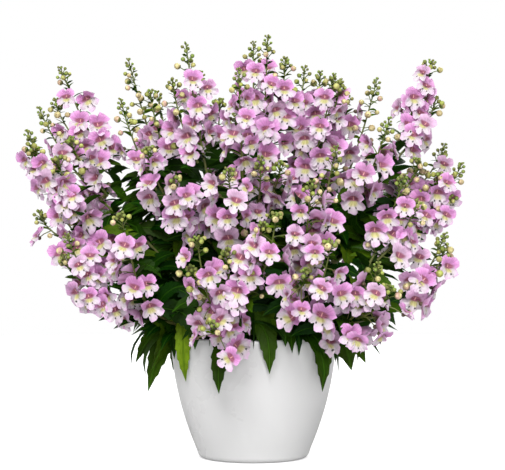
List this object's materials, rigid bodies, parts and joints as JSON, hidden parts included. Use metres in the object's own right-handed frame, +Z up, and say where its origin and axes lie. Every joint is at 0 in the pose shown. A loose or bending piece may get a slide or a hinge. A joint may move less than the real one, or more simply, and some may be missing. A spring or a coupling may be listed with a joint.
{
  "type": "potted angelonia",
  "caption": "Flowering plant in a plain round pot: leafy stems branch from the soil and carry tall spikes of pink lipped flowers with buds at the top.",
  "frame": {"origin": "centre of the pot's flat underside", "axes": "+Z up along the pot's axis; the pictured side faces -Y, with +X to the right of the picture"},
  "size_m": [0.3629, 0.3149, 0.3581],
  "materials": {
    "pot_white": "satin",
    "soil_brown": "matte",
    "petal_pink": "matte",
    "leaf_green": "satin"
  },
  "bodies": {
    "root": {"pot": "pot_white", "soil": "soil_brown", "flower_spike_01": "petal_pink", "flower_spike_02": "petal_pink", "flower_spike_03": "petal_pink", "flower_spike_04": "petal_pink", "flower_spike_05": "petal_pink", "flower_spike_06": "petal_pink", "flower_spike_07": "petal_pink", "flower_spike_08": "petal_pink", "flower_spike_09": "petal_pink", "flower_spike_10": "petal_pink", "flower_spike_11": "petal_pink", "flower_spike_12": "petal_pink", "flower_spike_13": "petal_pink", "flower_spike_14": "petal_pink", "flower_spike_15": "petal_pink", "flower_spike_16": "petal_pink", "flower_spike_17": "petal_pink", "flower_spike_18": "petal_pink", "flower_spike_19": "petal_pink", "flower_spike_20": "petal_pink", "flower_spike_21": "petal_pink", "flower_spike_22": "petal_pink", "flower_spike_23": "petal_pink", "flower_spike_24": "petal_pink", "flower_spike_25": "petal_pink", "flower_spike_26": "petal_pink", "flower_spike_27": "petal_pink", "flower_spike_28": "petal_pink", "flower_spike_29": "petal_pink", "flower_spike_30": "petal_pink", "flower_spike_31": "petal_pink", "flower_spike_32": "petal_pink", "flower_spike_33": "petal_pink", "flower_spike_34": "petal_pink", "flower_spike_35": "petal_pink", "flower_spike_36": "petal_pink", "flower_spike_37": "petal_pink", "flower_spike_38": "petal_pink", "flower_spike_39": "petal_pink", "flower_spike_40": "petal_pink", "leafy_stem_01": "leaf_green", "leafy_stem_02": "leaf_green", "leafy_stem_03": "leaf_green", "leafy_stem_04": "leaf_green", "leafy_stem_05": "leaf_green", "leafy_stem_06": "leaf_green", "leafy_stem_07": "leaf_green", "leafy_stem_08": "leaf_green", "leafy_stem_09": "leaf_green", "leafy_stem_10": "leaf_green", "leafy_stem_11": "leaf_green", "leafy_stem_12": "leaf_green", "leafy_stem_13": "leaf_green", "leafy_stem_14": "leaf_green", "leafy_stem_15": "leaf_green", "leafy_stem_16": "leaf_green", "leafy_stem_17": "leaf_green", "leafy_stem_18": "leaf_green"}
  },
  "joints": []
}
